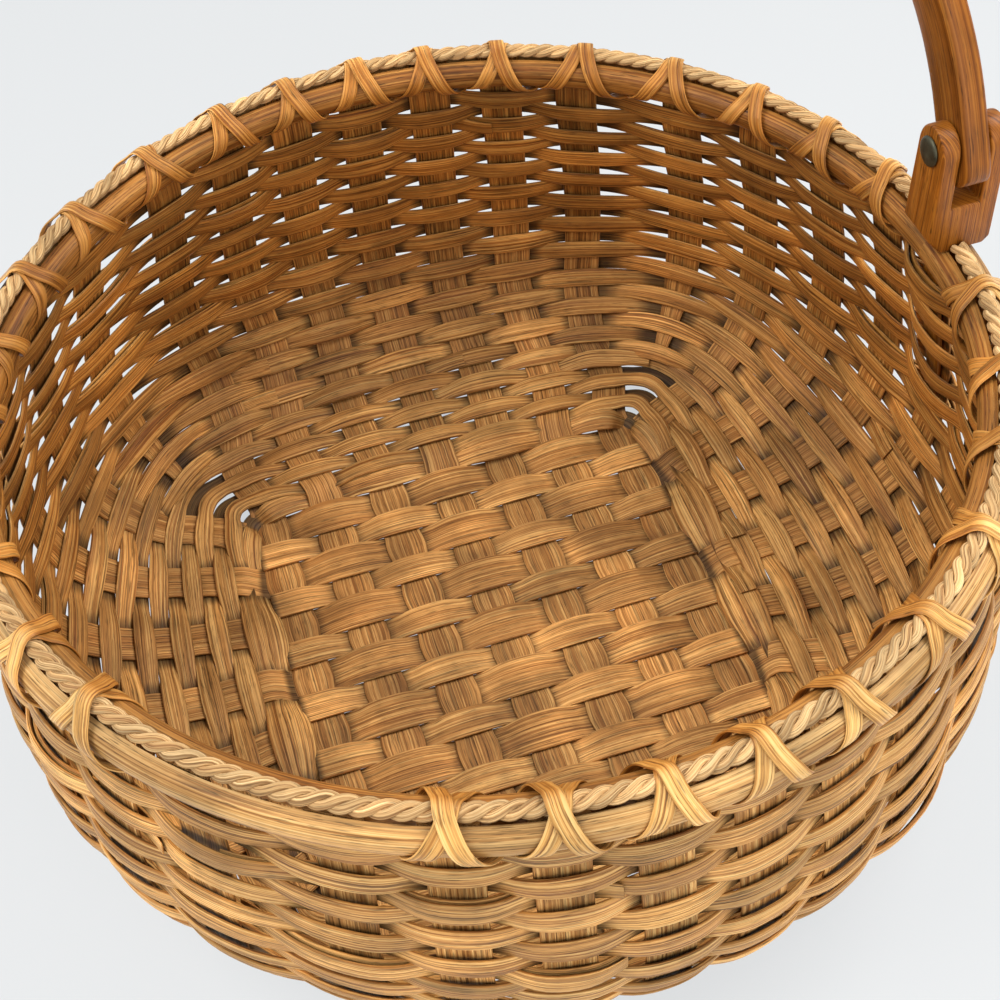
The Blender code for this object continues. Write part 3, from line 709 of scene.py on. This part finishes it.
def ear(side_name, side, upright):
    """Slotted ear on the hoops, with its tail down inside the wall."""
    block = ear_block()
    slot = box((-slot_width / 2, -ear_width, ear_foot + slot_floor_above_foot),
               (slot_width / 2, ear_width, pivot_height + ear_width))
    block = finished(block, slot, carved_ear_round)
    turn = Matrix.Translation((side * rim_middle, 0, 0)) @ Matrix.Rotation(0 if side > 0 else pi, 4, "Z")
    block.transform(turn)
    wood_attributes(block, 0.4)
    places = np.linspace(row_count - tail_rows, row_count, 37)
    centres, _, sideways, outward = upright.frame(places)
    inward = stake_thickness / 2 + clearance + tail_thickness / 2
    centres = centres - outward * inward
    share = (places - places[0]) / tail_rows
    widths = tail_tip_width + (tail_width - tail_tip_width) * np.minimum(1, share * 1.6) ** 0.7
    thick = tail_thickness * np.minimum(1, 0.45 + share * 1.2)
    tops = np.linspace(centres[-1][2] + 0.004, ear_foot + slot_floor_above_foot / 2, 4)
    centres = np.vstack((centres, [(side * (rim_radius - inward), 0.0, top) for top in tops]))
    sideways, outward, widths, thick = (carried_on(rows, 4) for rows in (sideways, outward, widths, thick))
    tail = strip_mesh("tail", centres, sideways, outward, widths, thick, bail_shares, 0.4)
    set_values(tail, "inside", 0)
    add_piece(join(f"carved_ear_{side_name}", [block, tail]), "ear_wood", f"ear_{side_name}")


def rivet(side_name, side):
    """Rivet through prongs and handle, with a low domed head at each end."""
    half = ear_thickness / 2 + clearance
    profile = []
    for step in range(7):
        angle = pi / 2 * step / 6
        height = rivet_head_height * (0.35 + 0.65 * cos(angle))
        profile.append((rivet_head_radius * sin(angle) * 0.98, half + height))
    profile += [(rivet_head_radius, half + rivet_head_height * 0.15), (rivet_head_radius * 0.97, half),
                (pin_radius, half)]
    profile += [(radius, -height) for radius, height in profile[::-1]]
    shape = bmesh.new()
    verts = [shape.verts.new((height, radius, 0.0)) for radius, height in profile]
    edges = [shape.edges.new(pair) for pair in zip(verts, verts[1:])]
    bmesh.ops.spin(shape, geom=verts + edges, cent=(0, 0, 0), axis=(1, 0, 0), angle=2 * pi, steps=40, use_merge=True)
    bmesh.ops.remove_doubles(shape, verts=shape.verts, dist=weld_distance)
    bmesh.ops.recalc_face_normals(shape, faces=shape.faces)
    bmesh.ops.translate(shape, vec=(side * rim_middle, 0, pivot_height), verts=shape.verts)
    mesh = to_mesh(shape, f"domed_rivet_{side_name}")
    shade(mesh, carved_edge_degrees)
    add_piece(mesh, "aged_brass", f"rivet_{side_name}")


def bail():
    """Bent handle between its two pivots."""
    end_shares = ((-1.36, 0.40), (-1.30, 0.58), (-1.17, 0.76), (-0.98, 0.88), (-0.70, 0.96), (0.0, 1.0))
    leg = [(rim_middle, share * bail_width / 2, width) for share, width in end_shares]
    arch = [(rim_middle * cos(angle), bail_straight + rim_middle * sin(angle), 1.0)
            for angle in np.linspace(0, pi, 97)]
    path = np.array(leg + arch + [(-across, height, width) for across, height, width in leg[::-1]])
    centres = np.stack((path[:, 0], np.zeros(len(path)), path[:, 1] + pivot_height), axis=1)
    across = (0, 1, 0)
    outward = np.cross(across, headings(centres))
    outward = outward * np.sign(np.sum(outward * (centres - (0, 0, pivot_height)), axis=1) + 1e-9)[:, None]
    outward[0], outward[-1] = (1, 0, 0), (-1, 0, 0)
    lengths = np.arange(len(path)) * 0.1
    widths = bail_width * path[:, 2] * (0.985 + 0.015 * wander(1, lengths))
    thick = bail_thickness * np.where(abs(path[:, 0]) > rim_middle - 0.001, 1.0, 0.97 + 0.03 * wander(2, lengths))
    mesh = strip_mesh("bent_bail", centres, across, outward, widths, thick, bail_shares, 0.5)
    set_values(mesh, "inside", 0)
    pivot = Matrix.Translation((0, 0, pivot_height))
    mesh.transform(pivot @ Matrix.Rotation(-radians(bail_rest_degrees), 4, "X") @ pivot.inverted())
    add_piece(mesh, "bail_wood", "bail", "bail")


def feed(node, inputs):
    """Sets a node's inputs, each to a value or to another node's socket."""
    for key, value in inputs.items():
        if isinstance(value, bpy.types.NodeSocket):
            node.id_data.links.new(value, node.inputs[key])
        else:
            node.inputs[key].default_value = value


def add(tree, kind, inputs, **settings):
    """A new node with its inputs and settings."""
    made = adjust(tree.nodes.new("ShaderNode" + kind), **settings)
    feed(made, inputs)
    return made


def socket(tree, kind, inputs, output=0, **settings):
    """One output of a new node."""
    return add(tree, kind, inputs, **settings).outputs[output]


def product(tree, first, second):
    """The socket of two values multiplied."""
    return socket(tree, "Math", {0: first, 1: second}, operation="MULTIPLY")


def ranged(tree, value, limits, results, **settings):
    """The socket of a value between two limits, brought between two results."""
    return socket(tree, "MapRange", dict(enumerate((value, *limits, *results))), **settings)


def tinted(tree, amount, colour, tint):
    """The socket of a colour multiplied by a tint, by an amount."""
    return socket(tree, "Mix", {0: amount, 6: colour, 7: tint}, 2, data_type="RGBA", blend_type="MULTIPLY")


def banded(tree, value, bands):
    """The socket of a colour that a value picks from bands, the outer two first."""
    ramp = add(tree, "ValToRGB", {0: value})
    stops = ramp.color_ramp.elements
    for index, (place, colour) in enumerate(bands):
        stop = stops[index] if index < 2 else stops.new(place)
        stop.position, stop.color = place, (*colour, 1)
    return ramp.outputs[0]


def new_material(name):
    """A material with its node tree and its shader."""
    made = bpy.data.materials.new(name)
    made.use_nodes = True
    return made, made.node_tree, made.node_tree.nodes["Principled BSDF"]


def grain_material(name, dark, middle, light, roughness, inside_shade_tint, fibre, bump, stain, spread, line_depth):
    """Wood or reed with grain along its UV, tone by piece, stains by place, painted shade on the inner faces and
    painted shade where a strip lies under another.
    """
    made, tree, shader = new_material(name)
    parts = add(tree, "SeparateXYZ", {0: socket(tree, "UVMap", {}, uv_map="UVMap")}).outputs
    tone, inside, hidden = (socket(tree, "Attribute", {}, "Fac", attribute_name=given)
                            for given in ("tone", "inside", "hidden"))
    seat = socket(tree, "TexCoord", {}, "Object")
    shift = product(tree, tone, 83.0)

    def streaks(along, across, detail, rough):
        """Noise with so many cells to a metre along the strip and across it."""
        spot = {0: product(tree, parts[0], along), 1: product(tree, parts[1], across), 2: shift}
        return socket(tree, "TexNoise", {"Vector": socket(tree, "CombineXYZ", spot), "Scale": 1.0, "Detail": detail,
                                         "Roughness": rough}, "Fac")

    fine = streaks(13.0, fibre, 2.0, 0.6)
    broad = streaks(11.0, fibre * 0.22, 2.0, 0.5)
    pores = streaks(160.0, fibre * 1.6, 2.0, 0.5)
    lines = streaks(9.0, fibre * 0.42, 1.0, 0.4)
    blots = streaks(38.0, 60.0, 1.0, 0.5)
    blend = socket(tree, "Mix", {0: 0.24, 2: fine, 3: broad}, data_type="FLOAT")
    base = banded(tree, blend, ((0.5 - spread * 0.42, dark), (0.5 + spread * 0.36, light), (0.5, middle)))
    cells = socket(tree, "TexNoise", {"Vector": seat, "Scale": 34.0, "Detail": 4.0, "Roughness": 0.6}, "Fac")
    patch = ranged(tree, cells, (0.32, 0.68), (1 - stain * 0.45, 1 + stain * 0.22))
    blotch = ranged(tree, blots, (0.35, 0.65), (1 - stain * 0.24, 1 + stain * 0.20))
    level = ranged(tree, tone, (0.0, 1.0), (0.72, 1.28))
    both = product(tree, product(tree, patch, blotch), level)
    dash = ranged(tree, pores, (0.58, 0.70), (1.0, 0.40))
    centred = socket(tree, "Math", {0: lines, 1: 0.5}, operation="SUBTRACT")
    away = socket(tree, "Math", {0: centred}, operation="ABSOLUTE")
    groove = ranged(tree, away, (0.004, 0.040), (1 - line_depth, 1.0))
    # Painted shade, darkest where a strip goes under its neighbour
    painted_crevice_shade = ranged(tree, hidden, (0.58, 1.0), (1.0, 0.25), interpolation_type="SMOOTHSTEP")
    marks = product(tree, dash, groove)
    total = product(tree, both, product(tree, marks, painted_crevice_shade))
    gray = socket(tree, "CombineXYZ", {0: total, 1: total, 2: total})
    height = socket(tree, "SeparateXYZ", {0: seat}, 2)
    # Painted shade on the inner faces, stronger higher up the wall
    inside_shade_amount = product(tree, inside, ranged(tree, height, (0.008, 0.06), (0.2, 1.0)))
    final = tinted(tree, inside_shade_amount, tinted(tree, 1.0, base, gray), inside_shade_tint)
    rough = ranged(tree, broad, (0.3, 0.7), (roughness - 0.08, roughness + 0.12))
    depth = product(tree, fine, marks)
    relief = socket(tree, "Bump", {"Strength": bump, "Distance": 0.0004, "Height": depth})
    feed(shader, {"Base Color": final, "Roughness": rough, "Specular IOR Level": 0.22, "Normal": relief})
    return made


def metal_material(name, colour):
    """Dark aged metal with worn patches."""
    made, tree, shader = new_material(name)
    seat = socket(tree, "TexCoord", {}, "Object")
    cells = socket(tree, "TexNoise", {"Vector": seat, "Scale": 420.0, "Detail": 4.0}, "Fac")
    worn = [share * 2.1 for share in colour]
    feed(shader, {"Base Color": banded(tree, cells, ((0.35, colour), (0.75, worn))), "Metallic": 0.75,
                  "Roughness": ranged(tree, cells, (0.3, 0.7), (0.38, 0.6))})
    return made


def ground_material(name, colour):
    """Pale ground that the camera sees at its own colour, with painted shade that makes it a little darker further
    off.
    """
    made, tree, shader = new_material(name)
    feed(shader, {"Base Color": (0.80, 0.80, 0.80, 1), "Roughness": 0.9, "Specular IOR Level": 0.0})
    amount = product(tree, socket(tree, "LightPath", {}, "Is Camera Ray"), 0.82)
    far = socket(tree, "SeparateXYZ", {0: socket(tree, "TexCoord", {}, "Object")}, 1)
    # Painted shade: the glow the camera sees fades further off
    level = ranged(tree, far, (-0.35, 0.65), (1.0, 0.86), interpolation_type="SMOOTHSTEP")
    glow = socket(tree, "Emission", {"Color": (*colour, 1), "Strength": level})
    mixed = socket(tree, "MixShader", {0: amount, 1: shader.outputs[0], 2: glow})
    feed(tree.nodes["Material Output"], {0: mixed})
    return made


def studio_world(name, sky, strength, seen_colour):
    """Soft light from all round, which the camera sees as a plain pale backdrop."""
    world = bpy.data.worlds.new(name)
    world.use_nodes = True
    tree = world.node_tree
    back = tree.nodes["Background"]
    feed(back, {"Color": (*sky, 1), "Strength": strength})
    seen = socket(tree, "Background", {"Color": (*seen_colour, 1)})
    rays = socket(tree, "LightPath", {}, "Is Camera Ray")
    either = socket(tree, "MixShader", {0: rays, 1: back.outputs[0], 2: seen})
    feed(tree.nodes["World Output"], {"Surface": either})
    return world


# Finishes by slot: name, dark, middle and light of the grain, roughness, tint of the painted shade on the inside,
# fibres to a metre, bump, stain, spread of the grain's colours and depth of its dark lines
# Painted shade: tints that darken the inner faces, white where there is none
inside_shade_colour, no_inside_shade = (0.82, 0.64, 0.37, 1), (1, 1, 1, 1)
finishes = {
    "oak_splint": ("splint_finish", (0.24, 0.088, 0.018), (0.50, 0.235, 0.066), (0.74, 0.43, 0.15),
                   0.58, inside_shade_colour, 1900.0, 0.6, 0.9, 0.40, 0.5),
    "filler_splint": ("filler_finish", (0.28, 0.105, 0.024), (0.57, 0.285, 0.085), (0.80, 0.49, 0.18),
                      0.58, inside_shade_colour, 1900.0, 0.6, 0.9, 0.40, 0.5),
    "weaver_reed": ("reed_finish", (0.26, 0.094, 0.019), (0.60, 0.30, 0.086), (0.82, 0.50, 0.18),
                    0.55, inside_shade_colour, 1900.0, 0.6, 0.7, 0.36, 0.55),
    "hoop_reed": ("hoop_finish", (0.30, 0.130, 0.034), (0.53, 0.288, 0.092), (0.67, 0.415, 0.165),
                  0.5, (0.64, 0.47, 0.27, 1), 1500.0, 0.45, 0.6, 0.30, 0.42),
    "lashing_reed": ("lashing_finish", (0.36, 0.155, 0.036), (0.66, 0.35, 0.098), (0.82, 0.51, 0.19),
                     0.45, (0.70, 0.52, 0.31, 1), 1500.0, 0.5, 0.5, 0.30, 0.45),
    "seagrass": ("seagrass_finish", (0.26, 0.12, 0.04), (0.58, 0.35, 0.145), (0.78, 0.54, 0.27),
                 0.7, no_inside_shade, 2400.0, 0.6, 0.7, 0.40, 0.35),
    "ear_wood": ("ear_finish", (0.16, 0.042, 0.004), (0.34, 0.105, 0.009), (0.47, 0.17, 0.020),
                 0.40, no_inside_shade, 1900.0, 0.15, 0.7, 0.40, 0.25),
    "bail_wood": ("bail_finish", (0.15, 0.040, 0.004), (0.28, 0.086, 0.008), (0.40, 0.145, 0.018),
                  0.40, no_inside_shade, 1900.0, 0.15, 0.7, 0.40, 0.25),
    "aged_brass": ("rivet_finish", (0.055, 0.052, 0.032)),
}


def finish_for(slot):
    """The material of a slot, made once."""
    name, *values = finishes[slot]
    if name in bpy.data.materials:
        return bpy.data.materials[name]
    return (grain_material if len(values) > 1 else metal_material)(name, *values)


class BASKET_OT_stakes(bpy.types.Operator):
    """Build the flat stakes that cross in the base and turn up into the wall"""
    bl_idname = "basket.stakes"
    bl_label = "Stakes"

    def execute(self, context):
        settings = context.scene.basket_weave
        random = np.random.default_rng(stake_seed)
        for index, place in enumerate(side_places):
            over = np.cos(base_run / stake_pitch * 2 * pi) * (1 if index % 2 else -1)
            path = np.stack((np.full_like(base_run, place), base_run, base_middle - 0.0001 * over), axis=1)
            ends = (stake_ends[3, index], stake_ends[1, stake_count - 1 - index])
            base_stake("along", index, ends, path, over, (1.0, 0.0, 0.0), along_seed + index,
                       settings.stake_ripple, random.uniform(0.25, 0.7))
        for index, place in enumerate(side_places):
            wave, path = base_weaver_path(place, 1, settings.base_arch)
            ends = (stake_ends[2, stake_count - 1 - index], stake_ends[0, index])
            base_stake("across", index, ends, path, -wave, (0.0, 1.0, 0.0), across_seed + index,
                       settings.stake_ripple, random.uniform(0.3, 0.85))
        for number, upright in enumerate([upright for upright in uprights if upright.corner]):
            centres, sideways, outward, widths, crest = wall_run(upright, settings.stake_ripple)
            mesh = strip_mesh(f"splint_corner_{number + 1}", centres, sideways, outward, widths * 0.98,
                              stake_thickness, splint_shares, random.uniform(0.3, 0.6), crest)
            add_piece(mesh, "oak_splint", f"corner_stake_{number + 1}")
        return {"FINISHED"}


class BASKET_OT_fillers(bpy.types.Operator):
    """Build the narrow strips that fill the base between the stakes"""
    bl_idname = "basket.fillers"
    bl_label = "Fillers"

    def execute(self, context):
        random = np.random.default_rng(filler_seed)
        for index, (low, high) in enumerate(zip(side_places, side_places[1:])):
            wave, centres = base_weaver_path((low + high) / 2, -1, context.scene.basket_weave.base_arch)
            # The filler ends tucked under the wall take the painted under shade on their top face
            ends = np.clip((abs(base_run) - base_reach) / 0.006 * 2 + 1, -1, 1)
            stray = 0.03 * wander(filler_width_seed + index, base_run * 100, 3, 3.0)
            widths = filler_width * (filler_ease + filler_swell * abs(wave) + stray)
            mesh = strip_mesh(f"splint_filler_{index + 1}", centres, (0, 1, 0), -upward, widths, stake_thickness,
                              splint_shares, random.uniform(0.25, 1.0), np.maximum(-wave, ends))
            add_piece(mesh, "filler_splint", f"filler_{index + 1}")
        return {"FINISHED"}


class BASKET_OT_rows(bpy.types.Operator):
    """Weave the rows of the wall"""
    bl_idname = "basket.rows"
    bl_label = "Weaver rows"

    def execute(self, context):
        settings = context.scene.basket_weave
        for row in range(row_count):
            turns = [weaver_mesh(turn, settings) for turn in ([-1, 0] if row == 0 else [row])]
            add_piece(join(f"reed_row_{row + 1:02d}", turns), "weaver_reed", f"weaver_row_{row + 1:02d}")
        return {"FINISHED"}


class BASKET_OT_rim(bpy.types.Operator):
    """Build the hoops, the cord between them and the lashing"""
    bl_idname = "basket.rim"
    bl_label = "Rim"

    def execute(self, context):
        settings = context.scene.basket_rim
        hoop("hoop_inside", inner_hoop_face, -1, 1.0, "inner_hoop")
        hoop("hoop_outside", outer_hoop_face, 1, 2.0, "outer_hoop")
        beside = (ear_width / 2 + 2 * clearance) / inner_hoop_face
        for place, start in (("back", 0), ("front", pi)):
            cord(f"seagrass_{place}", start + beside, start + pi - beside, settings, f"rim_cord_{place}")
        lashing(settings)
        return {"FINISHED"}


class BASKET_OT_ears(bpy.types.Operator):
    """Carve the ears and set their rivets"""
    bl_idname = "basket.ears"
    bl_label = "Ears and rivets"

    def execute(self, context):
        for side_name, (side, index) in ear_places.items():
            ear(side_name, side, uprights[index])
            rivet(side_name, side)
        return {"FINISHED"}


class BASKET_OT_bail(bpy.types.Operator):
    """Bend the swinging handle"""
    bl_idname = "basket.bail"
    bl_label = "Handle"

    def execute(self, context):
        bail()
        return {"FINISHED"}


def area_light(name, power, size, place, colour):
    """A round light that faces the basket."""
    data = adjust(bpy.data.lights.new(name, "AREA"), energy=power, shape="DISK", size=size, color=colour)
    turn = (Vector(light_target) - Vector(place)).to_track_quat("-Z", "Y").to_euler()
    adjust(link(name, data), location=place, rotation_euler=turn)


class BASKET_OT_stage(bpy.types.Operator):
    """Set the camera, the light and the pale ground"""
    bl_idname = "basket.stage"
    bl_label = "Stage"

    def execute(self, context):
        settings = context.scene.basket_stage
        scene = context.scene
        scene.view_settings.view_transform = "Standard"
        scene.world = studio_world("studio", settings.sky, settings.sky_strength, settings.ground)
        shape = bmesh.new()
        bmesh.ops.create_circle(shape, cap_ends=True, segments=64, radius=ground_radius)
        mesh = to_mesh(shape, "ground")
        ground = link("ground", mesh)
        mesh.materials.append(ground_material("ground_finish", settings.ground))
        for name, side in (("left_side", -1), ("right_side", 1)):
            area_light(name, settings.key_power, 0.9, (0.80 * side, 0.10, 1.15), (1.0, 0.98, 0.95))
        area_light("near_side", settings.fill_power, 1.2, (0.35, -1.3, 0.75), (1.0, 0.99, 0.97))
        scene.camera = link("camera", bpy.data.cameras.new("camera"))
        place_camera(scene.camera, *photo_camera)
        return {"FINISHED"}


# Focal length in picture widths, place, view rotation (axis times angle, right down forward rows) and picture centre
photo_camera = (1.5714, (-0.07187, -0.30832, 0.44776), (2.41154, -0.39402, 0.06289), (0.4949, 0.4970))


def place_camera(camera, focal, place, turn, centre):
    """Puts the camera where the photograph was taken from."""
    turn = Vector(turn)
    right, down, forward = Matrix.Rotation(turn.length, 3, turn.normalized())
    columns = Matrix((right, -down, -forward)).transposed()
    camera.matrix_world = Matrix.Translation(place) @ columns.to_4x4()
    adjust(camera.data, sensor_width=film_width, lens=focal * film_width, shift_x=0.5 - centre[0],
           shift_y=centre[1] - 0.5, clip_start=0.01)


class BASKET_PT_panel(bpy.types.Panel):
    """Buttons for each part of the basket"""
    bl_label = "Splint basket"
    bl_space_type = "VIEW_3D"
    bl_region_type = "UI"
    bl_category = "Basket"

    def draw(self, context):
        for group, kind in groups.items():
            for name in kind.__annotations__:
                self.layout.prop(getattr(context.scene, group), name)
        for operator in operators:
            self.layout.operator(operator.bl_idname)


operators = (BASKET_OT_stakes, BASKET_OT_fillers, BASKET_OT_rows, BASKET_OT_rim, BASKET_OT_ears, BASKET_OT_bail,
             BASKET_OT_stage)
groups = {"basket_weave": WeaveSettings, "basket_rim": RimSettings, "basket_stage": StageSettings}
classes = (*groups.values(), *operators, BASKET_PT_panel)


def register():
    """Adds the settings, operators and panel."""
    for item in classes:
        bpy.utils.register_class(item)
    for name, group in groups.items():
        setattr(bpy.types.Scene, name, PointerProperty(type=group))


def unregister():
    """Removes the settings, operators and panel."""
    for name in groups:
        delattr(bpy.types.Scene, name)
    for item in reversed(classes):
        bpy.utils.unregister_class(item)


def main():
    """Builds every piece."""
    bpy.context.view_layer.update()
    register()
    for operator in operators:
        getattr(bpy.ops.basket, operator.bl_idname.split(".")[1])()


if __name__ == "__main__":
    main()
